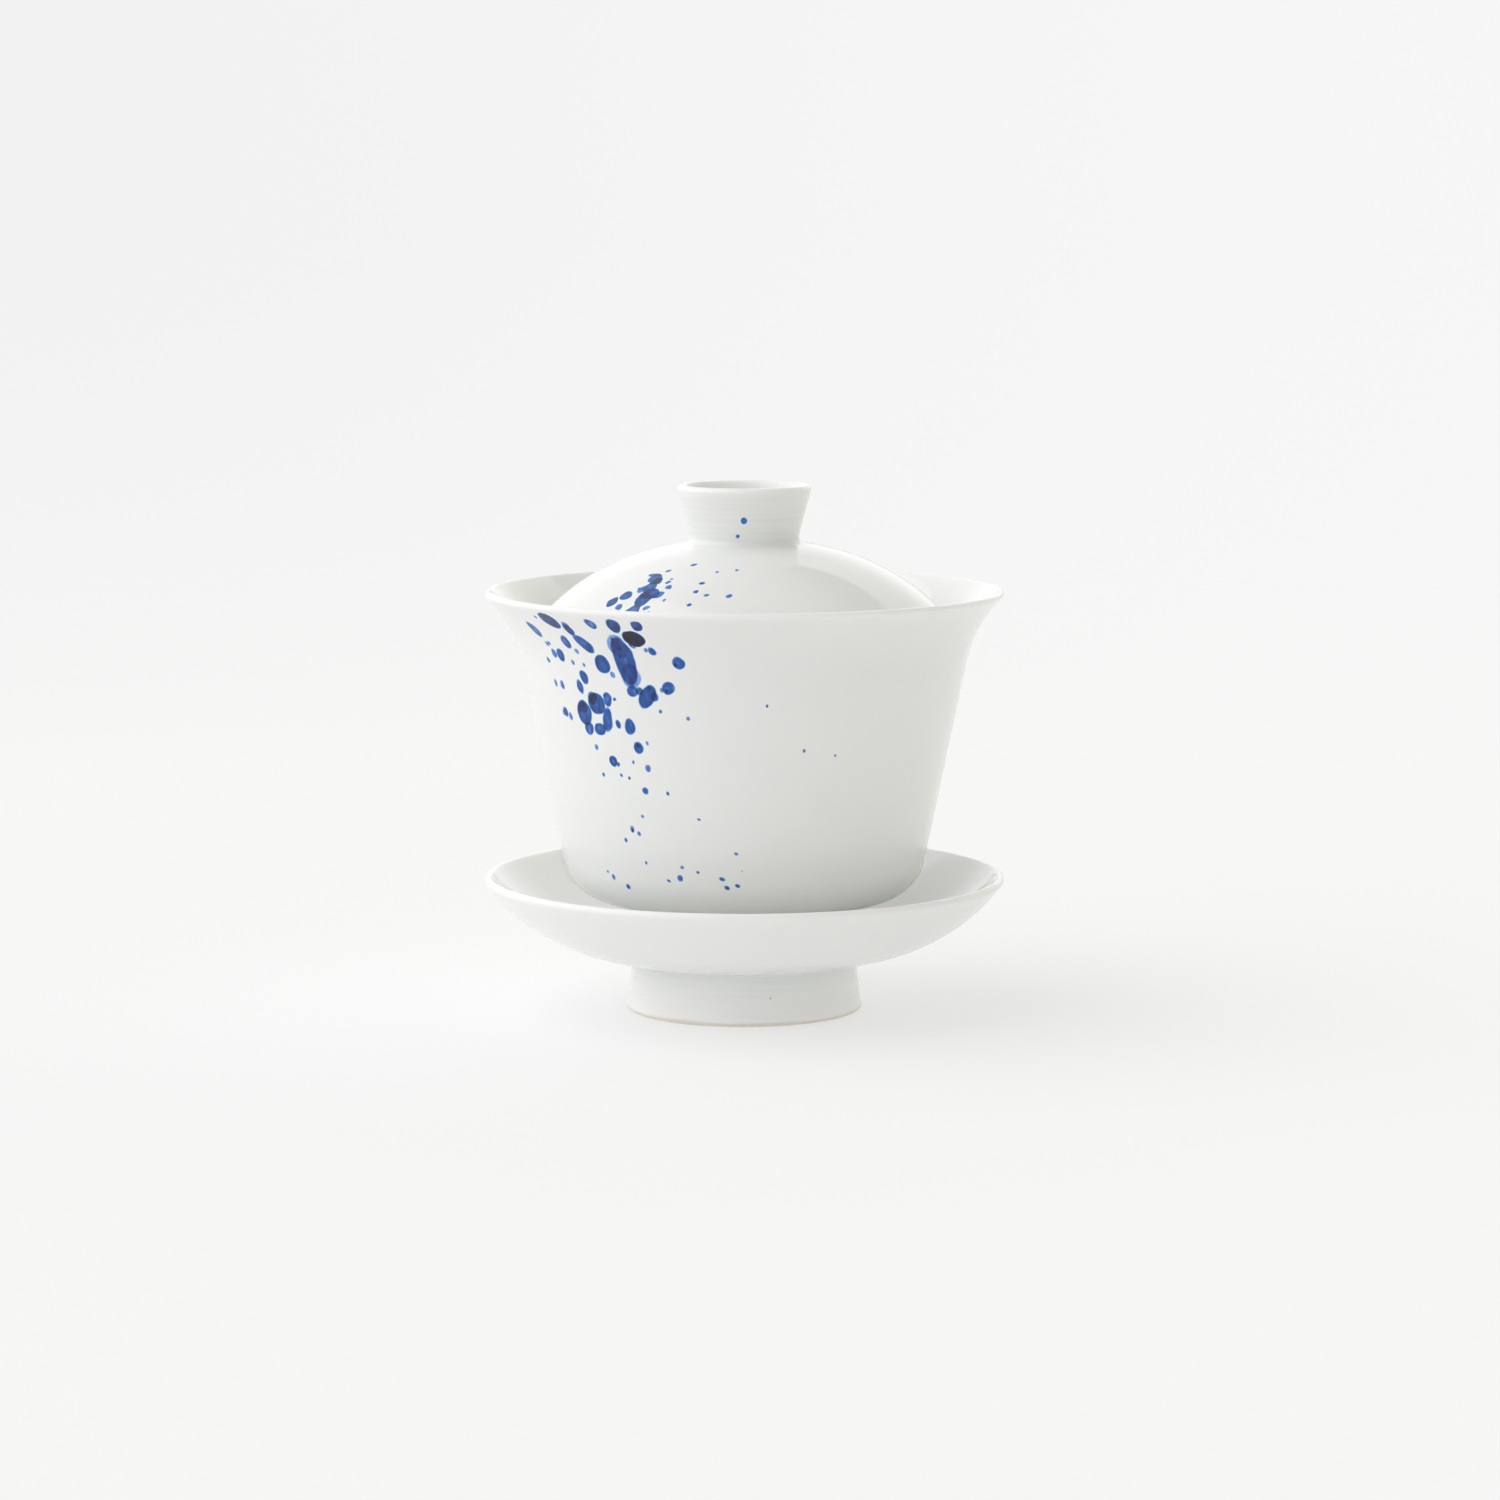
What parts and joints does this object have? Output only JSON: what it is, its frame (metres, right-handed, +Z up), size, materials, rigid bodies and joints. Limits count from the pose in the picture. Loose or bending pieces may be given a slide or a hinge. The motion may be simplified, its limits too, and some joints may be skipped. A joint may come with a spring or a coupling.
{
  "type": "gaiwan",
  "caption": "Lidded porcelain tea bowl on a saucer, with a flared mouth, a sunk domed lid with a hollow ring knob, and blue splashes under a white glaze.",
  "frame": {"origin": "middle of the circle that the saucer's foot ring stands on", "axes": "+Z up along the common axis of the saucer, bowl and lid; +X and +Y are free, because every piece is round; the thickest cobalt splashes face -Y and -X"},
  "size_m": [0.1006, 0.1006, 0.1017],
  "materials": {
    "saucer_glaze": "glossy clear glaze over white porcelain",
    "splashed_glaze": "glossy clear glaze over white porcelain with cobalt blue splashes"
  },
  "bodies": {
    "saucer": {"saucer": "saucer_glaze"},
    "bowl": {"bowl": "splashed_glaze"},
    "lid": {"lid": "splashed_glaze"}
  },
  "joints": [
    {"name": "bowl_lift", "type": "slide", "parent": "saucer", "child": "bowl", "axis": [0, 0, 1], "range_m": [0, 0.06]},
    {"name": "lid_lift", "type": "slide", "parent": "bowl", "child": "lid", "axis": [0, 0, 1], "range_m": [0, 0.06]}
  ]
}
